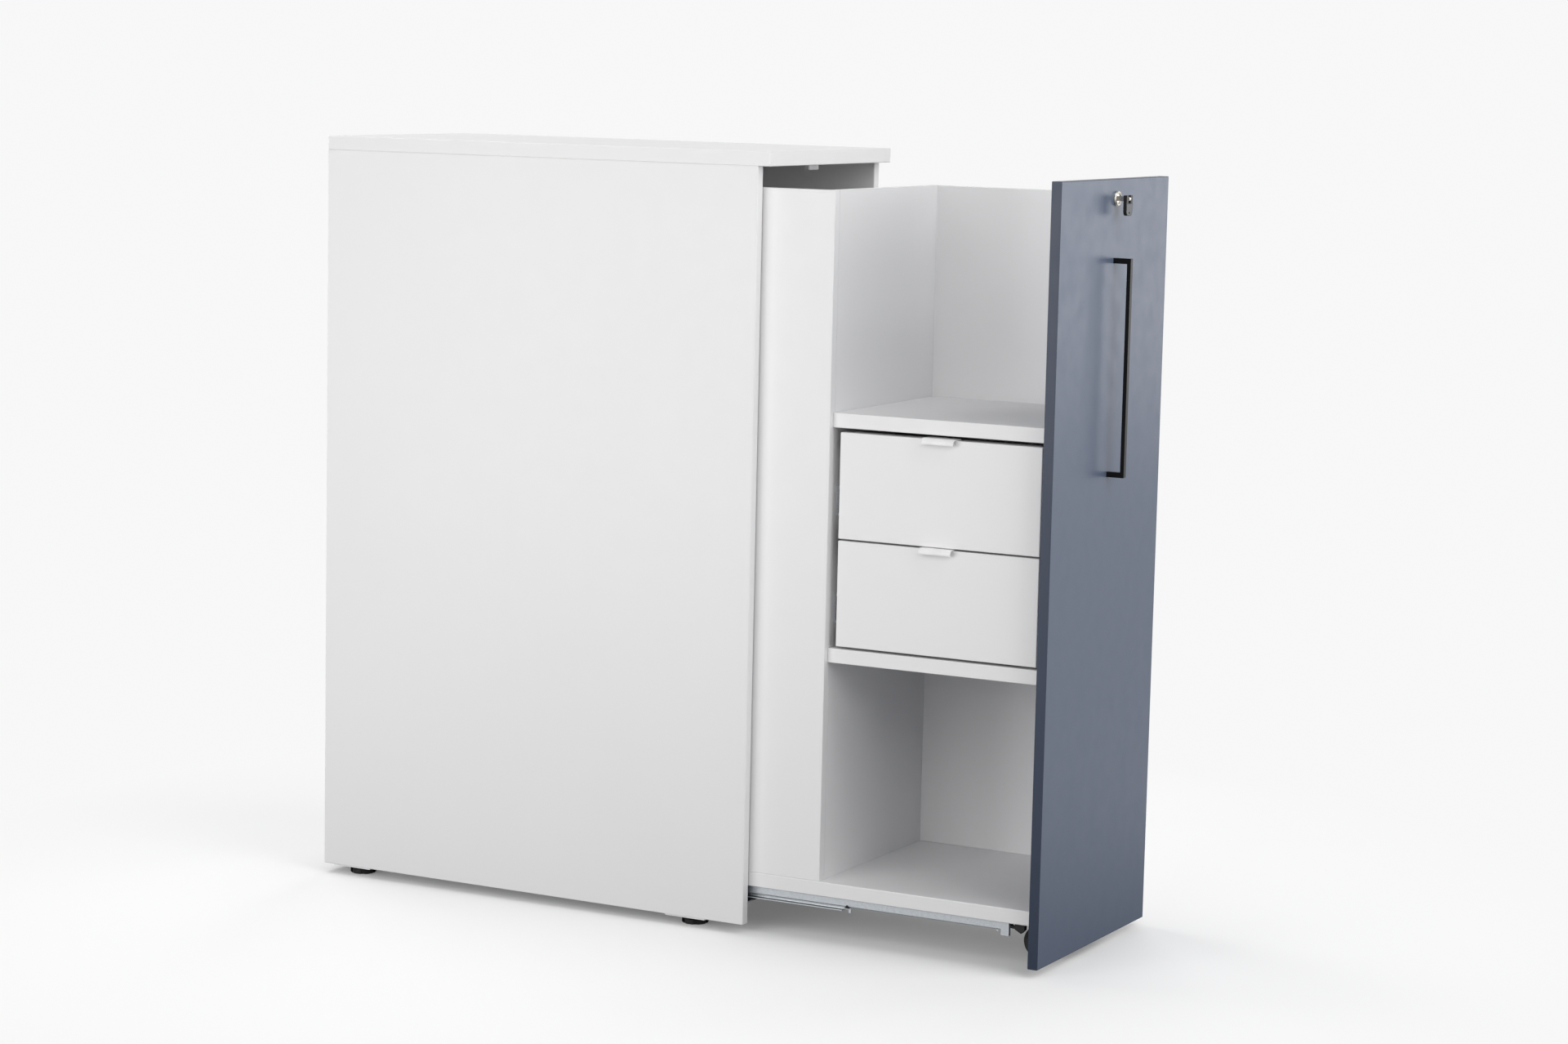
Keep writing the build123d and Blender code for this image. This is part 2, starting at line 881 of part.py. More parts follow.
def drawer_back(level):
    near, far = drawer_width_span()
    end = drawer_box_span()[1]
    low = level + drawer_box_lift + drawer_base_lift + drawer_base + groove_play
    return block(
        (end - thin_board, end), (near + thin_board, far - thin_board),
        (low, level + drawer_box_lift + drawer_box_height),
    )


def drawer_bottom(level):
    near, far = drawer_width_span()
    reach = thin_board - drawer_groove + groove_play
    low = level + drawer_box_lift + drawer_base_lift
    return block(drawer_box_span(), (near + reach, far - reach), (low, low + drawer_base))


def tab_pull(level):
    """A bent plate over the middle of the front's top edge, with a rounded lip."""
    top = level + drawer_front_height() + tab_sheet / 2
    back = shelf_x + board + tab_sheet / 2
    nose = shelf_x - tab_reach + tab_sheet / 2
    points = [(back, top - tab_root), (back, top), (nose, top), (nose, top - tab_drop + tab_sheet / 2)]
    section = folded(points, tab_sheet, [tab_bend_radius, tab_nose_radius])
    near, far = drawer_width_span()
    middle = (near + far) / 2
    return along_y(section, middle - tab_width / 2, middle + tab_width / 2)


def slide_channel(back, depth, height, face):
    """A channel in (y, z): its web on the given face, its lips towards the other side."""
    turn = face
    half = (height - slide_sheet) / 2
    web = back + turn * slide_sheet / 2
    lip = back + turn * depth
    points = [(lip, -half), (web, -half), (web, half), (lip, half)]
    return folded(points, slide_sheet, slide_sheet)


def slide_section(member, side):
    """One member's section on the near (-1) or far (1) side of a drawer, about its own level."""
    near, far = drawer_width_span()
    inward = -side
    board_face = near - drawer_slide_gap if side < 0 else far + drawer_slide_gap
    box_face = near if side < 0 else far
    step = slide_sheet + slide_play
    if member == "outer":
        return slide_channel(board_face, slide_lip_depth, slide_height, inward)
    if member == "middle":
        start = board_face + inward * step
        return slide_channel(start, slide_lip_depth, slide_height - 2 * step, inward)
    depth = drawer_slide_gap - 2 * step
    return slide_channel(box_face, depth, slide_height - 4 * step, -inward)


def slides(level, member):
    """Both sides of one member, for the drawer at that level."""
    z = level + slide_lift + slide_height / 2
    box_start, box_end = drawer_box_span()
    start = box_start + slide_setback
    end = box_end - slide_end_gap
    pair = []
    for side in (-1, 1):
        section = Pos(0, z) * slide_section(member, side)
        pair.append(along_x(section, start, end))
    return pair


def write_carcass():
    left = side_panel()
    save("side_left", left)
    save("side_right", mirrored(left))
    save("top_board", top_board())
    save("back_panel", back_panel())
    save("rear_rail", rear_rail())
    save("lock_strike", strike())
    rail = fixed_rail()
    save("rail_fixed_left", rail)
    save("rail_fixed_right", mirrored(rail))
    screws = [rail_screw(y, z) for y, z in rail_screw_places()]
    screws += [mirrored(screw) for screw in screws]
    screws += [strike_screw(x) for x in strike_screw_places()]
    save("carcass_screws", *screws)
    places = foot_places()
    save("foot_brackets", *[foot_bracket(x, y) for x, y in places.values()])
    for name, (x, y) in places.items():
        save(name, foot(x, y))


def write_runners():
    spans = rail_spans()
    middle = middle_rail()
    save("rail_middle_left", middle)
    save("rail_middle_right", mirrored(middle))
    save("roller_cages_lower", lower_cage(rail_x), lower_cage(-rail_x))
    save("roller_cages_upper", upper_cage(rail_x), upper_cage(-rail_x))
    moving = along_y(moving_section(), *spans["moving"])
    save("rail_moving_left", moving)
    save("rail_moving_right", mirrored(moving))
    save("rail_hooks", rail_hook(), mirrored(rail_hook()))
    save("release_catches", release_catch(), mirrored(release_catch()))


def write_unit():
    save("front_panel", front_panel())
    save("bottom_board", bottom_board())
    save("right_panel", right_panel())
    save("left_panel", left_panel())
    save("cross_panel", cross_panel())
    save("rear_panel", rear_panel())
    save("shelf_lower", shelf(lower_shelf_z))
    save("shelf_upper", shelf(upper_shelf_z))
    save("bar_handle", bar_handle())
    save("handle_screws", *[handle_screw(z) for z in handle_screw_levels()])
    castor_x = castor_track / 2
    save("castor_forks", castor_fork(-castor_x), castor_fork(castor_x))
    save("castor_axles", castor_axle(-castor_x), castor_axle(castor_x))
    save("castor_wheel_left", castor_wheel(-castor_x))
    save("castor_wheel_right", castor_wheel(castor_x))


def write_lock():
    save("lock_housing", lock_housing())
    save("lock_nut", lock_nut())
    save("lock_plug", lock_plug())
    save("lock_cam", lock_cam())
    save("cam_screw", cam_screw())
    save("key_blade", key_shank())
    save("key_pin", key_pin())
    save("key_bow", key_bow())
    save("key_inlay", key_inlay())


def write_drawers():
    fixed = []
    for name, level in drawer_levels().items():
        save(f"drawer_front_{name}", drawer_front(level))
        save(f"drawer_sides_{name}", *drawer_sides(level))
        save(f"drawer_back_{name}", drawer_back(level))
        save(f"drawer_bottom_{name}", drawer_bottom(level))
        save(f"tab_pull_{name}", tab_pull(level))
        save(f"slide_inner_{name}", *slides(level, "inner"))
        save(f"slide_middle_{name}", *slides(level, "middle"))
        fixed += slides(level, "outer")
    save("slide_outer", *fixed)


os.makedirs("parts", exist_ok=True)
write_carcass()
write_runners()
write_unit()
write_lock()
write_drawers()
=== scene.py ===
import json
import math

import bmesh
import bpy
from mathutils import Matrix, Vector

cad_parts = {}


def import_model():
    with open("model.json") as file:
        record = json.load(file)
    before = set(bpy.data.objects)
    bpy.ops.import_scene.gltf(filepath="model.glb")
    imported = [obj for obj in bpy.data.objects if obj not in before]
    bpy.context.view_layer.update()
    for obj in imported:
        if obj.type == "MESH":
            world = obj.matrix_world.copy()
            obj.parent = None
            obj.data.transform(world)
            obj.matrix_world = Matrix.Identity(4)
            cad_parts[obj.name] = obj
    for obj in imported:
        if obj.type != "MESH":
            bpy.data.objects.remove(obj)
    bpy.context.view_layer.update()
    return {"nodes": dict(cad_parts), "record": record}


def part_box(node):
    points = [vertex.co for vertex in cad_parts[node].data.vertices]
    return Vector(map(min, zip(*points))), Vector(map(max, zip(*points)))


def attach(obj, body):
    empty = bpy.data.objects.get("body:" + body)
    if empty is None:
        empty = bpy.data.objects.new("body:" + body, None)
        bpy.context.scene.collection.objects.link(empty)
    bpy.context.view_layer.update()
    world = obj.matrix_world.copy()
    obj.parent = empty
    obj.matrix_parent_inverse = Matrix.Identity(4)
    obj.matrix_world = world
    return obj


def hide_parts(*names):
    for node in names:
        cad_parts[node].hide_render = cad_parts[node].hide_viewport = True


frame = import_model()
nodes = frame["nodes"]
MM = 0.001
SIDES = (-1, 1)

# Camera, solved from the photograph's straight edges. Metres and degrees.
CAMERA_PLACE = (-4.96974, -2.73797, 1.34351)
CAMERA_YAW = 61.848
CAMERA_PITCH = 7.382
CAMERA_ROLL = 1.269
CAMERA_FOCAL_PX = 4445.95
CAMERA_SIGHT = 100.0
PHOTO_WIDTH_PX = 1920
SENSOR_WIDTH = 36.0

# Colours, linear
WHITE = (0.80, 0.796, 0.80)
WHITE_BAND = (0.79, 0.786, 0.79)
SLATE = (0.096, 0.122, 0.180)
SLATE_BAND = (0.030, 0.041, 0.070)
ZINC = (0.52, 0.55, 0.58)
BLACK = (0.012, 0.012, 0.013)
NICKEL = (0.50, 0.48, 0.44)
GREY = (0.13, 0.133, 0.14)
FLOOR = (0.90, 0.90, 0.90)
FLOOR_MIRRORED = (0.28, 0.28, 0.28)
FLOOR_BOUNCE = (0.22, 0.22, 0.22)
BACKDROP = (0.935, 0.935, 0.935)

# Board finishes: the faces, the edge band, and how the surface takes light
WHITE_FINISH = {"face": WHITE, "band": WHITE_BAND, "roughness": 0.42, "grain": 0.012 * MM, "specular": 0.4}
SLATE_FINISH = {"face": SLATE, "band": SLATE_BAND, "roughness": 0.34, "grain": 0.004 * MM, "specular": 0.28}

# Boards
BAND_THICKNESS = 1.0 * MM
BAND_SEAM = 0.18 * MM
SEAM_SHADE = 0.35
SEAM_TONE = 0.55
SEAM_SINK = 1.5
CLOUD_TONE = 0.985
SHEEN_SPREAD = 0.035
EDGE_BEVEL = 0.8 * MM

# Zinc plate: streaks along the roll, and the spangle's share of the tone
ROLL_STRETCH = (900.0, 14.0, 900.0)
STREAK_SHARE = 0.7
SPANGLE_SHARE = 0.3
SPANGLE_SCALE = 260.0

# Plastic and powder coat: how far the tone and the roughness stray
MOULDED_DARK = 0.93
MOULDED_LIGHT = 1.04
MOULDED_SPREAD = 0.06

# Castor wheel: the radii between which the core ends and the tread starts
CORE_RADIUS = 17.2 * MM
TREAD_RADIUS = 17.6 * MM

# The middle of a noise, where most of its values lie
NOISE_LOW = 0.3
NOISE_HIGH = 0.7

# Edges sharper than this stay sharp, and are the ones that a bevel rounds
SHARP_ANGLE = math.radians(35)

# Floor, as seen by the camera: lit near the object, even light further out
FLOOR_REACH = 30.0
LIT_RADIUS = 0.7
EVEN_RADIUS = 1.4
SHADOW_LIFT = 0.14
SURROUND = 0.06


# Node helpers

def new_material(name):
    """An empty material with its shader, ready for more nodes."""
    material = bpy.data.materials.new(name)
    material.use_nodes = True
    tree = material.node_tree
    return material, tree, tree.nodes["Principled BSDF"]


def add(tree, kind, **settings):
    """A node with its settings; a setting that names an input sets that input."""
    node = tree.nodes.new(kind)
    for key, value in settings.items():
        if key in node.inputs:
            node.inputs[key].default_value = value
        else:
            setattr(node, key, value)
    return node


def math_node(tree, operation, first, second=None):
    """One sum on one or two values, each a socket or a number."""
    node = add(tree, "ShaderNodeMath", operation=operation)
    for index, value in enumerate((first, second)):
        if value is None:
            continue
        if isinstance(value, (int, float)):
            node.inputs[index].default_value = value
        else:
            tree.links.new(value, node.inputs[index])
    return node.outputs[0]


def distance(tree, across, along):
    """The length of two steps square to each other."""
    across_square = math_node(tree, "MULTIPLY", across, across)
    along_square = math_node(tree, "MULTIPLY", along, along)
    return math_node(tree, "SQRT", math_node(tree, "ADD", across_square, along_square))


def object_place(tree):
    """The place on the part at rest, in metres."""
    return add(tree, "ShaderNodeTexCoord").outputs["Object"]


def split(tree, place):
    """The x, y and z of a place."""
    axes = add(tree, "ShaderNodeSeparateXYZ")
    tree.links.new(place, axes.inputs[0])
    return axes.outputs


def stretched(tree, place, scale):
    """A place scaled along each axis by itself."""
    node = add(tree, "ShaderNodeMapping", Scale=scale)
    tree.links.new(place, node.inputs["Vector"])
    return node.outputs[0]


def noise(tree, place, scale, detail):
    """A cloudy value from 0 to 1; the scale is in waves per metre."""
    node = add(tree, "ShaderNodeTexNoise", Scale=scale, Detail=detail)
    tree.links.new(place, node.inputs["Vector"])
    return node.outputs["Fac"]


def ramp(tree, value, low, high, low_value, high_value):
    """Maps one range of a value onto another, clamped."""
    node = add(tree, "ShaderNodeMapRange")
    tree.links.new(value, node.inputs["Value"])
    ends = {"From Min": low, "From Max": high, "To Min": low_value, "To Max": high_value}
    for key, number in ends.items():
        node.inputs[key].default_value = number
    return node.outputs["Result"]


def spread(tree, cloud, low_value, high_value):
    """Maps the middle of a noise onto a range of values."""
    return ramp(tree, cloud, NOISE_LOW, NOISE_HIGH, low_value, high_value)


def mix_colour(tree, factor, first, second):
    """A blend of two colours, each a socket or three numbers."""
    node = add(tree, "ShaderNodeMix", data_type="RGBA")
    tree.links.new(factor, node.inputs["Factor"])
    for key, value in (("A", first), ("B", second)):
        colour_in = [socket for socket in node.inputs if socket.name == key and socket.type == "RGBA"][0]
        if isinstance(value, tuple):
            colour_in.default_value = (*value, 1.0)
        else:
            tree.links.new(value, colour_in)
    return [socket for socket in node.outputs if socket.type == "RGBA"][0]


def mix_shader(tree, factor, first, second):
    """A blend of two shaders."""
    node = add(tree, "ShaderNodeMixShader")
    for index, socket in enumerate((factor, first, second)):
        tree.links.new(socket, node.inputs[index])
    return node.outputs[0]


def scaled(colour, factor):
    """A lighter or darker colour of the same hue."""
    return tuple(channel * factor for channel in colour)


def bump(tree, shader, height, depth):
    """Presses a height pattern into a shader's surface."""
    node = add(tree, "ShaderNodeBump", Strength=1.0, Distance=depth)
    tree.links.new(height, node.inputs["Height"])
    tree.links.new(node.outputs["Normal"], shader.inputs["Normal"])


# Materials

def gap_to_edge(tree, place, low, high):
    """How far a place on a board's face lies from the nearest of the board's narrow sides."""
    axes = split(tree, place)
    size = high - low
    thin = min(range(3), key=lambda axis: size[axis])
    nearest = None
    for axis in (axis for axis in range(3) if axis != thin):
        for bound, sign in ((low[axis], 1), (high[axis], -1)):
            gap = math_node(tree, "MULTIPLY", math_node(tree, "SUBTRACT", axes[axis], bound), sign)
            nearest = gap if nearest is None else math_node(tree, "MINIMUM", nearest, gap)
    return nearest


def board_material(name, low, high, face, band, roughness, grain, specular):
    """Melamine faces, a matching edge band and the hairline seam between them."""
    material, tree, shader = new_material(f"board_{name}")
    place = object_place(tree)
    gap = gap_to_edge(tree, place, low, high)
    on_band = ramp(tree, gap, BAND_THICKNESS, BAND_THICKNESS + BAND_SEAM, 1.0, 0.0)
    seam_gap = math_node(tree, "ABSOLUTE", math_node(tree, "SUBTRACT", gap, BAND_THICKNESS))
    seam = ramp(tree, seam_gap, 0.0, BAND_SEAM, 1.0, 0.0)
    cloud = noise(tree, place, scale=3.0, detail=4.0)
    tone = mix_colour(tree, spread(tree, cloud, 0.0, 1.0), scaled(face, CLOUD_TONE), face)
    banded = mix_colour(tree, on_band, tone, band)
    seamed = mix_colour(tree, math_node(tree, "MULTIPLY", seam, SEAM_SHADE), banded, scaled(face, SEAM_TONE))
    tree.links.new(seamed, shader.inputs["Base Color"])
    sheen = noise(tree, place, scale=35.0, detail=5.0)
    rough = spread(tree, sheen, roughness - SHEEN_SPREAD, roughness + SHEEN_SPREAD)
    tree.links.new(rough, shader.inputs["Roughness"])
    shader.inputs["Specular IOR Level"].default_value = specular
    fine = noise(tree, place, scale=1400.0, detail=2.0)
    bump(tree, shader, math_node(tree, "SUBTRACT", fine, math_node(tree, "MULTIPLY", seam, SEAM_SINK)), grain)
    return material


def zinc_material():
    """Rolled zinc-plated sheet: faint spangle, streaks along the roll and dull patches."""
    material, tree, shader = new_material("zinc_plate")
    place = object_place(tree)
    streak = noise(tree, stretched(tree, place, ROLL_STRETCH), scale=1.0, detail=3.0)
    spangle = add(tree, "ShaderNodeTexVoronoi", Scale=SPANGLE_SCALE)
    tree.links.new(place, spangle.inputs["Vector"])
    cell = add(tree, "ShaderNodeSeparateColor")
    tree.links.new(spangle.outputs["Color"], cell.inputs[0])
    streak_part = math_node(tree, "MULTIPLY", streak, STREAK_SHARE)
    spangle_part = math_node(tree, "MULTIPLY", cell.outputs[0], SPANGLE_SHARE)
    tone = math_node(tree, "ADD", streak_part, spangle_part)
    dark, light = scaled(ZINC, 0.85), scaled(ZINC, 1.08)
    colour = mix_colour(tree, ramp(tree, tone, 0.25, 0.75, 0.0, 1.0), dark, light)
    tree.links.new(colour, shader.inputs["Base Color"])
    dull, smooth = 0.48, 0.34
    tree.links.new(ramp(tree, tone, 0.2, 0.8, dull, smooth), shader.inputs["Roughness"])
    shader.inputs["Metallic"].default_value = 0.9
    bump(tree, shader, streak, 0.02 * MM)
    return material


def moulded_material(name, colour, roughness, grain_scale, grain_depth, specular=0.5):
    """Moulded plastic or powder coat with an even fine texture."""
    material, tree, shader = new_material(name)
    place = object_place(tree)
    grain = noise(tree, place, grain_scale, detail=3.0)
    patches = spread(tree, noise(tree, place, scale=40.0, detail=3.0), 0.0, 1.0)
    tone = mix_colour(tree, patches, scaled(colour, MOULDED_DARK), scaled(colour, MOULDED_LIGHT))
    tree.links.new(tone, shader.inputs["Base Color"])
    rough = spread(tree, grain, roughness - MOULDED_SPREAD, roughness + MOULDED_SPREAD)
    tree.links.new(rough, shader.inputs["Roughness"])
    shader.inputs["Specular IOR Level"].default_value = specular
    bump(tree, shader, grain, grain_depth)
    return material


def wheel_material():
    """A dusty black tread round a dark, smoother core."""
    material, tree, shader = new_material("castor_wheel")
    low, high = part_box("castor_wheel_left")
    place = object_place(tree)
    axes = split(tree, place)
    from_y = math_node(tree, "SUBTRACT", axes[1], (low.y + high.y) / 2)
    from_z = math_node(tree, "SUBTRACT", axes[2], (low.z + high.z) / 2)
    tread = ramp(tree, distance(tree, from_y, from_z), CORE_RADIUS, TREAD_RADIUS, 0.0, 1.0)
    clean, dusty, core = scaled(BLACK, 1.2), scaled(BLACK, 4.0), scaled(BLACK, 3.2)
    dust = ramp(tree, noise(tree, place, scale=90.0, detail=5.0), 0.45, 0.75, 0.0, 0.5)
    rubber = mix_colour(tree, dust, clean, dusty)
    tree.links.new(mix_colour(tree, tread, core, rubber), shader.inputs["Base Color"])
    core_roughness, tread_roughness = 0.42, 0.68
    rough = ramp(tree, tread, 0.0, 1.0, core_roughness, tread_roughness)
    tree.links.new(rough, shader.inputs["Roughness"])
    bump(tree, shader, noise(tree, place, scale=800.0, detail=3.0), 0.03 * MM)
    return material


def nickel_material():
    """Satin nickel, finely turned."""
    material, tree, shader = new_material("satin_nickel")
    turned = noise(tree, object_place(tree), scale=900.0, detail=2.0)
    tone = mix_colour(tree, spread(tree, turned, 0.0, 1.0), scaled(NICKEL, 0.9), NICKEL)
    tree.links.new(tone, shader.inputs["Base Color"])
    smooth, satin = 0.16, 0.26
    tree.links.new(spread(tree, turned, smooth, satin), shader.inputs["Roughness"])
    shader.inputs["Metallic"].default_value = 1.0
    return material


def shared_materials():
    """The materials that slots share, by slot. Numbers: roughness, grain scale and depth, specular."""
    return {
        "galvanised_steel": zinc_material(),
        "white_metal": moulded_material("white_coat", WHITE, 0.4, 1500.0, 0.01 * MM),
        "white_plastic": moulded_material("white_moulding", scaled(WHITE, 0.97), 0.45, 900.0, 0.02 * MM),
        "black_plastic": moulded_material("black_moulding", scaled(BLACK, 0.8), 0.45, 1200.0, 0.03 * MM, 0.3),
        "grey_plastic": moulded_material("grey_moulding", GREY, 0.6, 900.0, 0.03 * MM),
        "black_metal": moulded_material("black_coat", scaled(BLACK, 0.5), 0.34, 1600.0, 0.015 * MM, 0.16),
        "castor_rubber": wheel_material(),
        "nickel": nickel_material(),
    }


def assign(node, material):
    """Gives every slot of a CAD node the same material."""
    mesh = nodes[node].data
    if not mesh.materials:
        mesh.materials.append(material)
    for index in range(len(mesh.materials)):
        mesh.materials[index] = material


def dress_nodes(shared):
    """Gives each board a material of its own size, and every other node its slot's."""
    finishes = {"white_board": WHITE_FINISH, "slate_board": SLATE_FINISH}
    for part in frame["record"]["subparts"]:
        node, slot = part["node"], part["material_slot"]
        if slot in finishes:
            assign(node, board_material(node, *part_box(node), **finishes[slot]))
        else:
            assign(node, shared[slot])


# Mesh helpers

def piece_from(build, name, body, material):
    """A new piece whose mesh a builder writes, riding on a body."""
    mesh = bpy.data.meshes.new(name)
    shape = bmesh.new()
    build(shape)
    bmesh.ops.recalc_face_normals(shape, faces=shape.faces)
    shape.to_mesh(mesh)
    shape.free()
    for polygon in mesh.polygons:
        polygon.use_smooth = True
    mesh.set_sharp_from_angle(angle=SHARP_ANGLE)
    mesh.materials.append(material)
    obj = bpy.data.objects.new(name, mesh)
    bpy.context.scene.collection.objects.link(obj)
    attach(obj, body)
    return obj


def ease(obj, width, segments=2):
    """Rounds a new piece's hard edges."""
    bevel = obj.modifiers.new("ease", "BEVEL")
    bevel.width = width
    bevel.segments = segments
    bevel.limit_method = "ANGLE"
    bevel.angle_limit = SHARP_ANGLE


def facing(place, axis):
    """Turns local +Z to an axis and moves the local origin to a place."""
    turn = Vector((0, 0, 1)).rotation_difference(Vector(axis)).to_matrix().to_4x4()
    return Matrix.Translation(place) @ turn


def round_steps(count):
    """The cosine and sine of even steps round a circle."""
    angles = [2 * math.pi * step / count for step in range(count)]
    return [(math.cos(angle), math.sin(angle)) for angle in angles]


def join_loops(shape, loops):
    """Faces between each closed loop of vertices and the next, the last one joined to the first."""
    for here, there in zip(loops, loops[1:] + loops[:1]):
        for index in range(len(here)):
            after = (index + 1) % len(here)
            shape.faces.new((here[index], there[index], there[after], here[after]))


def add_prism(shape, outline, depth):
    """A solid between an outline and its copy, moved by a depth vector."""
    near = [shape.verts.new(Vector(point)) for point in outline]
    far = [shape.verts.new(Vector(point) + Vector(depth)) for point in outline]
    shape.faces.new(near)
    shape.faces.new(list(reversed(far)))
    for index in range(len(outline)):
        after = (index + 1) % len(outline)
        shape.faces.new((near[index], far[index], far[after], near[after]))


def add_lathe(shape, place, axis, profile, segments):
    """A ring turned from a closed profile of (radius, height) points."""
    move = facing(place, axis)
    loops = []
    for cosine, sine in round_steps(segments):
        loops.append([
            shape.verts.new(move @ Vector((radius * cosine, radius * sine, height)))
            for radius, height in profile
        ])
    join_loops(shape, loops)


# Boards and drawer fronts that the solids lack

INNER_FRONT_THICKNESS = 12.0 * MM
INNER_FRONT_LIFT = 0.2 * MM
INNER_FRONT_DROP = 0.3 * MM
INNER_FRONT_BEVEL = 0.5 * MM
TAB_PLAY = 1.0 * MM


def add_board(shape, low, high):
    """A board's block between two corners."""
    outline = [(low.x, low.y, low.z), (high.x, low.y, low.z), (high.x, high.y, low.z), (low.x, high.y, low.z)]
    add_prism(shape, outline, (0, 0, high.z - low.z))


def stand_in_board(name, node, low, high):
    """A board in place of a node's."""
    material = board_material(name, low, high, **WHITE_FINISH)
    board = piece_from(lambda shape: add_board(shape, low, high), name, "unit", material)
    ease(board, EDGE_BEVEL, 1)
    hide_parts(node)


def boards_behind_cross_panel():
    """The right panel ends at the cross panel, and the rear board stays low: neither rim shows above."""
    cross_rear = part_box("cross_panel")[1].y
    low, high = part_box("right_panel")
    stand_in_board("right_board", "right_panel", low, Vector((high.x, cross_rear, high.z)))
    low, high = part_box("rear_panel")
    stand_in_board("rear_board", "rear_panel", low, Vector((high.x, high.y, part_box("shelf_lower")[0].z)))


def drawer_inner_front(level):
    """The drawer box's own front, behind the face and as high, notched for the tab pull."""
    name = f"drawer_inner_front_{level}"
    face_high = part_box(f"drawer_front_{level}")[1]
    back_low, back_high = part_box(f"drawer_back_{level}")
    tab_low, tab_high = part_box(f"tab_pull_{level}")
    front = face_high.x
    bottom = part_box(f"drawer_bottom_{level}")[1].z + INNER_FRONT_LIFT
    top = face_high.z - INNER_FRONT_DROP
    notch_start, notch_end = tab_low.y - TAB_PLAY, tab_high.y + TAB_PLAY
    notch_floor = tab_low.z - TAB_PLAY
    corners = [
        (back_low.y, bottom), (back_high.y, bottom), (back_high.y, top), (notch_end, top),
        (notch_end, notch_floor), (notch_start, notch_floor), (notch_start, top), (back_low.y, top),
    ]
    outline = [(front, y, z) for y, z in corners]
    low = Vector((front, back_low.y, bottom))
    high = Vector((front + INNER_FRONT_THICKNESS, back_high.y, top))
    material = board_material(name, low, high, **WHITE_FINISH)

    def build(shape):
        add_prism(shape, outline, (INNER_FRONT_THICKNESS, 0, 0))
    board = piece_from(build, name, f"drawer_{level}", material)
    ease(board, INNER_FRONT_BEVEL, 1)


# Screw heads. Each size is a head's diameter and height.

HEAD_SEGMENTS = 48
HEAD_RINGS = 12
HEAD_DOME = 0.55
RECESS_ARM = 0.17
RECESS_REACH = 0.52
RECESS_DEPTH = 0.8
RECESS_SIDE_SLOPE = 0.06
RECESS_END_SLOPE = 0.12

CASTOR_HEAD = (5.0 * MM, 1.4 * MM)
CASTOR_HOLES_ACROSS = 16.0 * MM
CASTOR_HOLES_ALONG = 18.5 * MM
FORK_SHEET = 2.5 * MM

BRACKET_HEAD = (7.0 * MM, 1.6 * MM)
BRACKET_HOLES_ALONG = 24.0 * MM
BRACKET_HOLES_DROP = 8.0 * MM
BRACKET_SHEET = 1.5 * MM

RAIL_HEAD = (7.0 * MM, 1.1 * MM)
RAIL_HOLES_INSET = 35.0 * MM
RAIL_HOLES_DROP = 10.0 * MM
RAIL_SHEET = 2.0 * MM

STRIKE_HEAD = (6.0 * MM, 0.8 * MM)
STRIKE_HOLES_ACROSS = 8.0 * MM

SLIDE_HEAD = (7.0 * MM, 1.5 * MM)
SLIDE_HOLES = (0.12, 0.5, 0.88)
SLIDE_DEPTH = 10.5 * MM
SLIDE_SHEET = 1.2 * MM

HANDLE_HEAD = (7.6 * MM, 0.9 * MM)
HANDLE_SCREW_RADIUS = 4.0 * MM


def recess_at(x, y, radius):
    """How deep the cross recess of a screw head is at a place on it, from 0 to 1."""
    across, along = sorted((abs(x) / radius, abs(y) / radius))
    side = min(1.0, max(0.0, (RECESS_ARM - across) / RECESS_SIDE_SLOPE))
    end = min(1.0, max(0.0, (RECESS_REACH - along) / RECESS_END_SLOPE))
    return min(side, end)


def add_head(shape, place, axis, diameter, height):
    """A domed screw head with a pressed cross recess, standing on a face."""
    radius = diameter / 2
    move = facing(place, axis)
    steps = round_steps(HEAD_SEGMENTS)
    rings = []
    for ring in range(1, HEAD_RINGS + 1):
        share = ring / HEAD_RINGS
        row = []
        for cosine, sine in steps:
            x = radius * share * cosine
            y = radius * share * sine
            z = height * (1 - HEAD_DOME * share ** 3 - RECESS_DEPTH * recess_at(x, y, radius))
            row.append(shape.verts.new(move @ Vector((x, y, z))))
        rings.append(row)
    rim = [shape.verts.new(move @ Vector((radius * cosine, radius * sine, 0.0))) for cosine, sine in steps]
    rings.append(rim)
    centre = shape.verts.new(move @ Vector((0, 0, height * (1 - RECESS_DEPTH))))
    for step in range(HEAD_SEGMENTS):
        after = (step + 1) % HEAD_SEGMENTS
        shape.faces.new((centre, rings[0][step], rings[0][after]))
        for inner, outer in zip(rings, rings[1:]):
            shape.faces.new((inner[step], outer[step], outer[after], inner[after]))
    shape.faces.new(rim)


def heads(name, places, axis_of, head, body, material):
    """One piece with a steel screw head at each place."""
    def build(shape):
        for place in places:
            add_head(shape, place, axis_of(place), *head)
    piece_from(build, name, body, material)


def inward(place):
    """The way from a side board into the carcass."""
    return (-math.copysign(1, place.x), 0, 0)


def castor_screws(material):
    """Four screws up through each castor plate."""
    plate_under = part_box("castor_forks")[1].z - FORK_SHEET
    places = []
    for name in ("castor_wheel_left", "castor_wheel_right"):
        low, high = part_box(name)
        middle = (low + high) / 2
        for along in SIDES:
            for across in SIDES:
                x = middle.x + across * CASTOR_HOLES_ACROSS
                y = middle.y + along * CASTOR_HOLES_ALONG
                places.append(Vector((x, y, plate_under)))
    heads("castor_screws", places, lambda place: (0, 0, -1), CASTOR_HEAD, "unit", material)


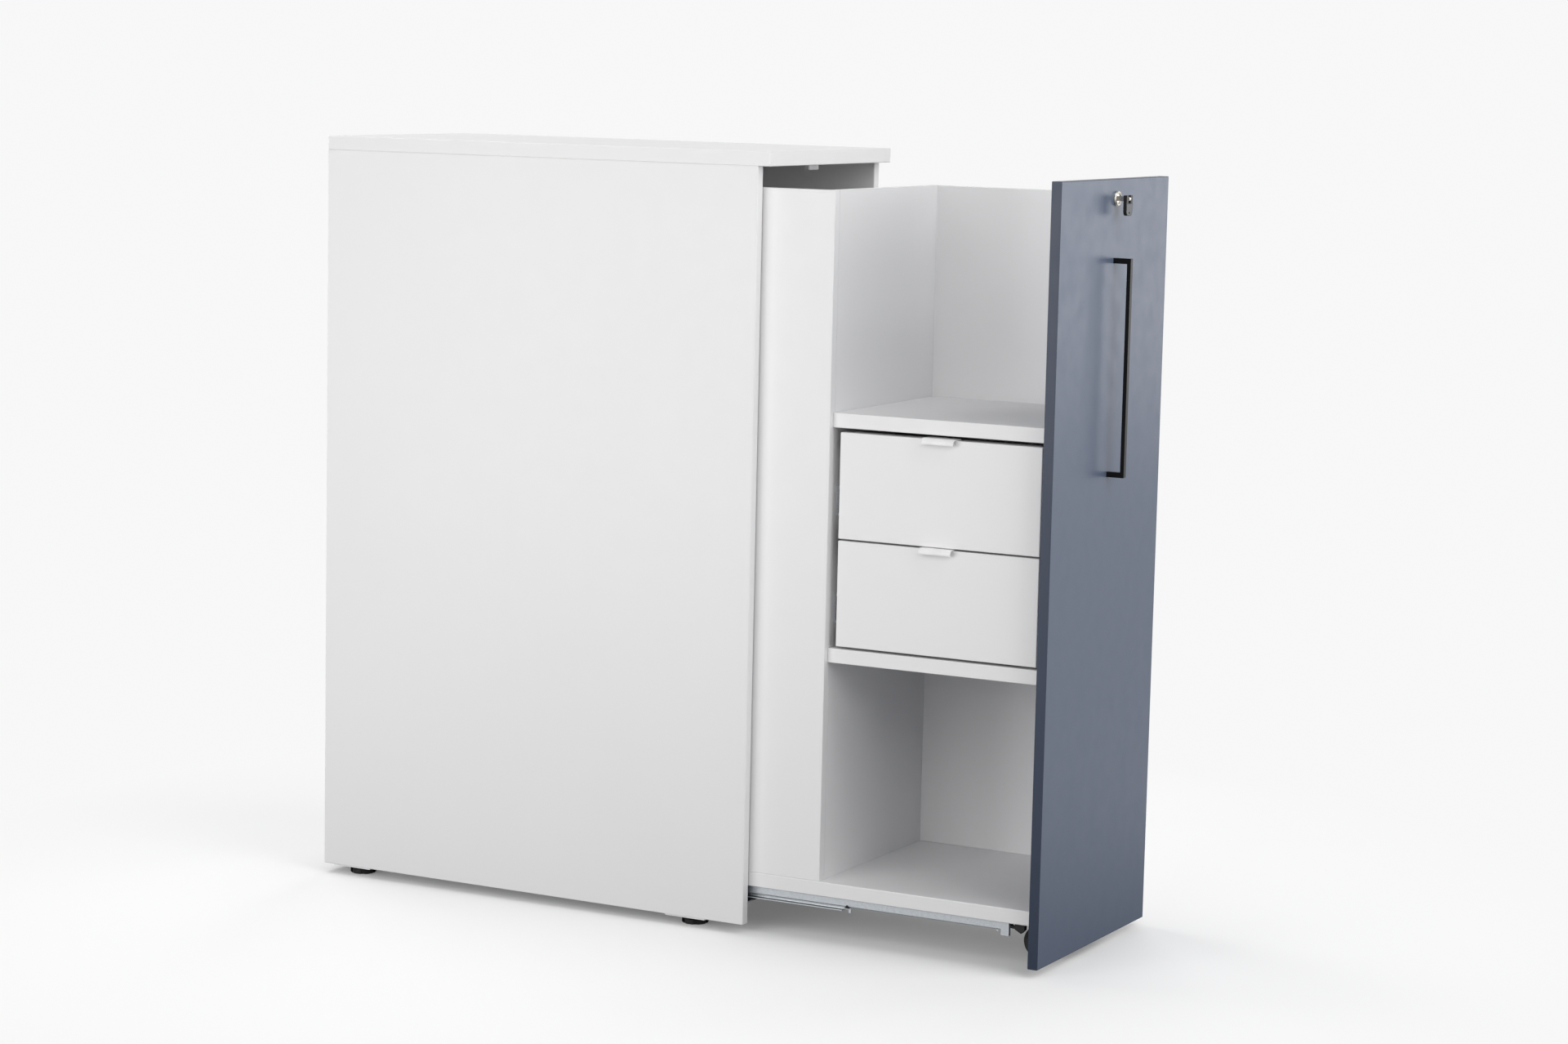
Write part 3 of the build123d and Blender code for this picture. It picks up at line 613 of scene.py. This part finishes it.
def bracket_screws(material):
    """Two screws through each foot bracket's leg into the side."""
    screw_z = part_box("foot_brackets")[1].z - BRACKET_HOLES_DROP
    side_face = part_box("side_right")[0].x - BRACKET_SHEET
    places = []
    for name in ("foot_front_left", "foot_rear_left"):
        foot_low, foot_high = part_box(name)
        middle = (foot_low.y + foot_high.y) / 2
        for along in SIDES:
            for side in SIDES:
                places.append(Vector((side * side_face, middle + along * BRACKET_HOLES_ALONG, screw_z)))
    heads("bracket_screws", places, inward, BRACKET_HEAD, "carcass", material)


def rail_screw_heads(material):
    """Domed heads over the screws of the fixed rails."""
    low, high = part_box("rail_fixed_left")
    face = low.x + RAIL_SHEET
    places = []
    for y in (low.y + RAIL_HOLES_INSET, high.y - RAIL_HOLES_INSET):
        for side in SIDES:
            places.append(Vector((side * face, y, high.z - RAIL_HOLES_DROP)))
    heads("rail_screw_heads", places, inward, RAIL_HEAD, "carcass", material)


def strike_screw_heads(material):
    """Two heads under the lock's strike plate."""
    low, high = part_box("lock_strike")
    middle = (low + high) / 2
    places = [Vector((middle.x + side * STRIKE_HOLES_ACROSS, middle.y, low.z)) for side in SIDES]
    heads("strike_screw_heads", places, lambda place: (0, 0, -1), STRIKE_HEAD, "carcass", material)


def slide_screws(level, material):
    """Three screws through each inner slide member into the drawer's side."""
    low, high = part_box(f"slide_inner_{level}")
    middle = (low + high) / 2
    places = []
    for share in SLIDE_HOLES:
        x = low.x + share * (high.x - low.x)
        places.append(Vector((x, low.y + SLIDE_DEPTH - SLIDE_SHEET, middle.z)))
        places.append(Vector((x, high.y - SLIDE_DEPTH + SLIDE_SHEET, middle.z)))

    def outward(place):
        return (0, math.copysign(1, place.y - middle.y), 0)
    heads(f"slide_screws_{level}", places, outward, SLIDE_HEAD, f"drawer_{level}", material)


def handle_screw_heads(material):
    """Domed heads with a cross recess behind the front, over the plain ones."""
    low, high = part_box("handle_screws")
    places = [Vector((0, high.y, z)) for z in (low.z + HANDLE_SCREW_RADIUS, high.z - HANDLE_SCREW_RADIUS)]
    heads("handle_screw_heads", places, lambda place: (0, 1, 0), HANDLE_HEAD, "unit", material)


# Runner details

EYE_RADIUS = 2.5 * MM
EYE_WIRE = 0.45 * MM
EYE_INSET = 4.6 * MM
EYE_RISE = 0.7 * MM
EYE_SEGMENTS = 32
EYE_SIDES = 12

# The clip on a middle rail's tab: an ear beside the moving rail, and an arm back to the tab's web
EAR_OUTER_GAP = 1.2 * MM
EAR_INNER_GAP = 0.3 * MM
EAR_FOOT = 4.6 * MM
EAR_TIP = 0.8 * MM
EAR_RISE = 3.0 * MM
ARM_FOOT = 2.6 * MM
ARM_TOP = 2.2 * MM
ARM_THICKNESS = 1.4 * MM
CLIP_INSET = 4.4 * MM
CLIP_DROP = 1.9 * MM
CLIP_BEVEL = 0.2 * MM
WEB_HALF = 0.75 * MM

# The middle rail's foot, and the thin black strip on it that paints the shade under the moving rail
MIDDLE_TAB_REACH = 11.6 * MM
MIDDLE_TAB_DROP = 3.4 * MM
MIDDLE_SHEET = 1.5 * MM
SHADE_STRIP_THICKNESS = 0.5 * MM
SHADE_STRIP_OUTER_INSET = 0.6 * MM
SHADE_STRIP_INNER_INSET = 6.5 * MM

# The cage's nose, inside the fixed rail and out of its front end
NOSE_WIDTH = 11.0 * MM
NOSE_THICKNESS = 2.0 * MM
NOSE_PLAY = 0.1 * MM
NOSE_OVERLAP = 0.5 * MM
NOSE_BEVEL = 0.3 * MM


def rail_eyes(material):
    """A small eye on the outer face of each moving rail, by its front end."""
    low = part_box("rail_moving_left")[0]
    profile = [(EYE_RADIUS + EYE_WIRE * cosine, EYE_WIRE * sine) for cosine, sine in round_steps(EYE_SIDES)]

    def build(shape):
        for side in SIDES:
            place = Vector((side * (abs(low.x) + EYE_WIRE), low.y + EYE_INSET, low.z + EYE_RISE))
            add_lathe(shape, place, (1, 0, 0), profile, EYE_SEGMENTS)
    piece_from(build, "rail_eyes", "unit", material)


def tapered(x, middle, bottom, top, half_bottom, half_top):
    """An outline between two heights, at one x, that narrows evenly towards its top."""
    return [
        (x, middle - half_bottom, bottom), (x, middle + half_bottom, bottom),
        (x, middle + half_top, top), (x, middle - half_top, top),
    ]


def rail_buffers(material):
    """The black clip on each middle rail's front tab, with a pointed ear beside the moving rail."""
    tab_low, tab_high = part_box("rail_middle_left")
    moving_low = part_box("rail_moving_left")[0]
    outer = moving_low.x - EAR_OUTER_GAP
    inner = moving_low.x - EAR_INNER_GAP
    web = (tab_low.x + tab_high.x) / 2 - WEB_HALF
    middle = tab_low.y + CLIP_INSET
    bottom = moving_low.z - CLIP_DROP
    ear_top = moving_low.z + EAR_RISE
    arm_top = bottom + ARM_THICKNESS

    def build(shape):
        for side in SIDES:
            ear = tapered(-side * outer, middle, bottom, ear_top, EAR_FOOT, EAR_TIP)
            add_prism(shape, ear, (-side * (inner - outer), 0, 0))
            arm = tapered(-side * inner, middle, bottom, arm_top, ARM_FOOT, ARM_TOP)
            add_prism(shape, arm, (-side * (web - inner), 0, 0))
    buffers = piece_from(build, "rail_buffers", "runner_middle", material)
    ease(buffers, CLIP_BEVEL)


def rail_foot_shade_strips(material):
    """Painted shade: a thin black strip along each middle rail's foot, between it and the moving rail, that
    darkens the foot's top as shade would.
    """
    low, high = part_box("rail_middle_left")
    start = low.y + MIDDLE_TAB_REACH
    bottom = low.z + MIDDLE_TAB_DROP + MIDDLE_SHEET
    top = bottom + SHADE_STRIP_THICKNESS
    outer, inner = abs(low.x) - SHADE_STRIP_OUTER_INSET, abs(low.x) - SHADE_STRIP_INNER_INSET
    corners = [(outer, bottom), (inner, bottom), (inner, top), (outer, top)]

    def build(shape):
        for side in SIDES:
            add_prism(shape, [(side * x, start, z) for x, z in corners], (0, high.y - start, 0))
    piece_from(build, "rail_foot_shade_strips", "runner_middle", material)


def cage_noses(material):
    """The pointed front end of each lower roller cage, which looks out of the fixed rail."""
    rail_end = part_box("rail_fixed_left")[0].y
    low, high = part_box("roller_cages_lower")
    outer = abs(low.x)
    middle = (low.z + high.z) / 2
    half = NOSE_THICKNESS / 2
    top, bottom = high.z - NOSE_PLAY, low.z + NOSE_PLAY
    # From the tip's upper corner down its slope, back under the rail and into the cage
    curve = [
        (-17.0, top), (-16.6, middle + 2.6 * MM), (-13.0, middle + half), (-9.0, middle),
        (-5.0, middle - 0.9 * MM), (-1.5, low.z + 0.4 * MM), (3.0, bottom), (7.0, middle - half),
    ]
    outline = [(rail_end + reach * MM, z) for reach, z in curve]
    outline += [(low.y + NOSE_OVERLAP, middle - half), (low.y + NOSE_OVERLAP, middle + half)]
    outline += [(rail_end + 9.0 * MM, middle + half), (rail_end + 6.0 * MM, top)]

    def build(shape):
        for side in SIDES:
            points = [(side * outer, y, z) for y, z in outline]
            add_prism(shape, points, (-side * NOSE_WIDTH, 0, 0))
    noses = piece_from(build, "cage_noses", "cages_lower", material)
    ease(noses, NOSE_BEVEL)


# Lock

ROSETTE_PLAY = 0.3 * MM
ROSETTE_LIP = 1.3 * MM
ROSETTE_LIP_FLATNESS = 0.9
ROSETTE_DISH_WIDTH = 0.6 * MM
ROSETTE_DISH_HEIGHT = 0.12 * MM
ROSETTE_RIM_HEIGHT = 0.3 * MM
ROSETTE_SINK = -0.4 * MM
ROSETTE_SEGMENTS = 64


def lock_rosette(material):
    """A rounded lip and a dished face on the lock's flange, round the plug."""
    low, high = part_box("lock_housing")
    plug_low, plug_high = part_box("lock_plug")
    outer = (high.x - low.x) / 2 - ROSETTE_PLAY
    inner = (plug_high.x - plug_low.x) / 2 + ROSETTE_PLAY
    profile = []
    for turn in range(0, 151, 15):
        reach = ROSETTE_LIP * math.cos(math.radians(turn))
        rise = ROSETTE_LIP_FLATNESS * ROSETTE_LIP * math.sin(math.radians(turn))
        profile.append((outer - ROSETTE_LIP + reach, rise))
    profile += [(inner + ROSETTE_DISH_WIDTH, ROSETTE_DISH_HEIGHT), (inner, ROSETTE_RIM_HEIGHT)]
    profile += [(inner, ROSETTE_SINK), (outer, ROSETTE_SINK)]
    middle = (low + high) / 2
    place = Vector((middle.x, low.y, middle.z))

    def build(shape):
        add_lathe(shape, place, (0, -1, 0), profile, ROSETTE_SEGMENTS)
    piece_from(build, "lock_rosette", "unit", material)


# Stage, lights and camera

def floor():
    """A wide pale floor that keeps the object's shadow, fades into the backdrop and is clear from below."""
    mesh = bpy.data.meshes.new("floor")
    reach = FLOOR_REACH
    corners = [(-reach, -reach, 0), (reach, -reach, 0), (reach, reach, 0), (-reach, reach, 0)]
    mesh.from_pydata(corners, [], [(0, 1, 2, 3)])
    obj = bpy.data.objects.new("floor", mesh)
    bpy.context.scene.collection.objects.link(obj)
    material, tree, unused = new_material("floor_paint")
    tree.nodes.remove(unused)
    path = add(tree, "ShaderNodeLightPath")
    paint = add(tree, "ShaderNodeBsdfDiffuse")
    mirrored = mix_colour(tree, path.outputs["Is Glossy Ray"], FLOOR_BOUNCE, FLOOR_MIRRORED)
    tree.links.new(mix_colour(tree, path.outputs["Is Camera Ray"], mirrored, FLOOR), paint.inputs["Color"])
    axes = split(tree, object_place(tree))
    even = ramp(tree, distance(tree, axes[0], axes[1]), LIT_RADIUS, EVEN_RADIUS, SHADOW_LIFT, 1.0)
    seen = math_node(tree, "MAXIMUM", path.outputs["Is Camera Ray"], path.outputs["Is Glossy Ray"])
    glow = add(tree, "ShaderNodeEmission", Strength=1.0, Color=(*BACKDROP, 1.0))
    above = mix_shader(tree, math_node(tree, "MULTIPLY", even, seen), paint.outputs[0], glow.outputs[0])
    from_below = add(tree, "ShaderNodeNewGeometry").outputs["Backfacing"]
    clear = add(tree, "ShaderNodeBsdfTransparent").outputs[0]
    surface = mix_shader(tree, from_below, above, clear)
    tree.links.new(surface, tree.nodes["Material Output"].inputs["Surface"])
    mesh.materials.append(material)


def world():
    """An even pale surround; the camera and mirror images see the backdrop's own level."""
    scene_world = bpy.data.worlds.new("studio")
    bpy.context.scene.world = scene_world
    scene_world.use_nodes = True
    tree = scene_world.node_tree
    light = tree.nodes["Background"]
    light.inputs["Color"].default_value = (1.0, 1.0, 1.0, 1.0)
    light.inputs["Strength"].default_value = SURROUND
    seen = add(tree, "ShaderNodeBackground", Strength=1.0, Color=(*BACKDROP, 1.0))
    path = add(tree, "ShaderNodeLightPath")
    rays = math_node(tree, "MAXIMUM", path.outputs["Is Camera Ray"], path.outputs["Is Glossy Ray"])
    surface = mix_shader(tree, rays, light.outputs[0], seen.outputs[0])
    tree.links.new(surface, tree.nodes["World Output"].inputs["Surface"])


def softbox(name, place, target, size, power):
    """A rectangular lamp that looks at a target; metres and watts."""
    data = bpy.data.lights.new(name, "AREA")
    data.shape = "RECTANGLE"
    data.size, data.size_y = size
    data.energy = power
    obj = bpy.data.objects.new(name, data)
    bpy.context.scene.collection.objects.link(obj)
    obj.location = place
    obj.rotation_euler = (Vector(target) - Vector(place)).to_track_quat("-Z", "Y").to_euler()
    return obj


def lights():
    """Soft boxes all round the object, and two from above. Each has a place, a target, a size and a power."""
    softbox("left", (-3.2, 0.2, 1.9), (0.0, 0.0, 0.7), (2.4, 2.4), 40.0)
    softbox("left_level", (-3.4, -0.2, 1.0), (0.0, 0.0, 1.0), (3.0, 0.9), 6.0)
    softbox("left_rear_low", (-2.6, 1.4, 0.7), (-0.2, 0.0, 0.6), (1.5, 1.2), 26.0)
    softbox("left_front_high", (-3.0, -3.0, 2.8), (0.0, -0.3, 0.6), (2.0, 2.0), 26.0)
    softbox("front_left", (-1.2, -3.6, 1.2), (0.0, -0.4, 0.6), (2.0, 2.0), 30.0)
    softbox("front", (0.3, -3.2, 1.9), (0.0, -0.5, 0.7), (2.0, 2.0), 26.0)
    softbox("right_front", (3.0, -1.9, 1.3), (0.0, -0.65, 0.7), (1.2, 1.6), 11.0)
    right = softbox("right", (3.0, 0.6, 1.4), (0.0, 0.0, 0.7), (2.0, 2.0), 62.0)
    rear = softbox("rear", (0.6, 3.6, 0.9), (0.0, 0.6, 0.7), (2.0, 1.4), 26.0)
    softbox("overhead_front", (-0.5, -2.2, 3.2), (0.0, -0.4, 0.7), (2.0, 2.0), 35.0)
    softbox("overhead_back", (0.3, 2.0, 3.0), (0.0, 0.0, 0.8), (2.0, 2.0), 36.0)
    # From the photo's side these two would lie on the top board as hard-edged white patches
    for lamp in (right, rear):
        lamp.visible_glossy = False


def camera():
    """The photograph's camera."""
    data = bpy.data.cameras.new("camera")
    data.sensor_width = SENSOR_WIDTH
    data.lens = CAMERA_FOCAL_PX * SENSOR_WIDTH / PHOTO_WIDTH_PX
    data.clip_end = CAMERA_SIGHT
    obj = bpy.data.objects.new("camera", data)
    bpy.context.scene.collection.objects.link(obj)
    turn = (
        Matrix.Rotation(math.radians(-CAMERA_YAW), 4, "Z")
        @ Matrix.Rotation(math.radians(90 - CAMERA_PITCH), 4, "X")
        @ Matrix.Rotation(math.radians(CAMERA_ROLL), 4, "Z")
    )
    obj.matrix_world = Matrix.Translation(CAMERA_PLACE) @ turn
    bpy.context.scene.camera = obj


materials = shared_materials()
dress_nodes(materials)
steel, black_plastic = materials["galvanised_steel"], materials["black_plastic"]
castor_screws(steel)
bracket_screws(steel)
rail_screw_heads(steel)
strike_screw_heads(steel)
slide_screws("upper", steel)
slide_screws("lower", steel)
handle_screw_heads(steel)
rail_eyes(steel)
rail_buffers(black_plastic)
# The black strips on the middle rails' feet are painted shade
rail_foot_shade_strips(black_plastic)
cage_noses(black_plastic)
lock_rosette(materials["nickel"])
boards_behind_cross_panel()
drawer_inner_front("upper")
drawer_inner_front("lower")
floor()
world()
lights()
camera()
bpy.context.scene.view_settings.view_transform = "Standard"
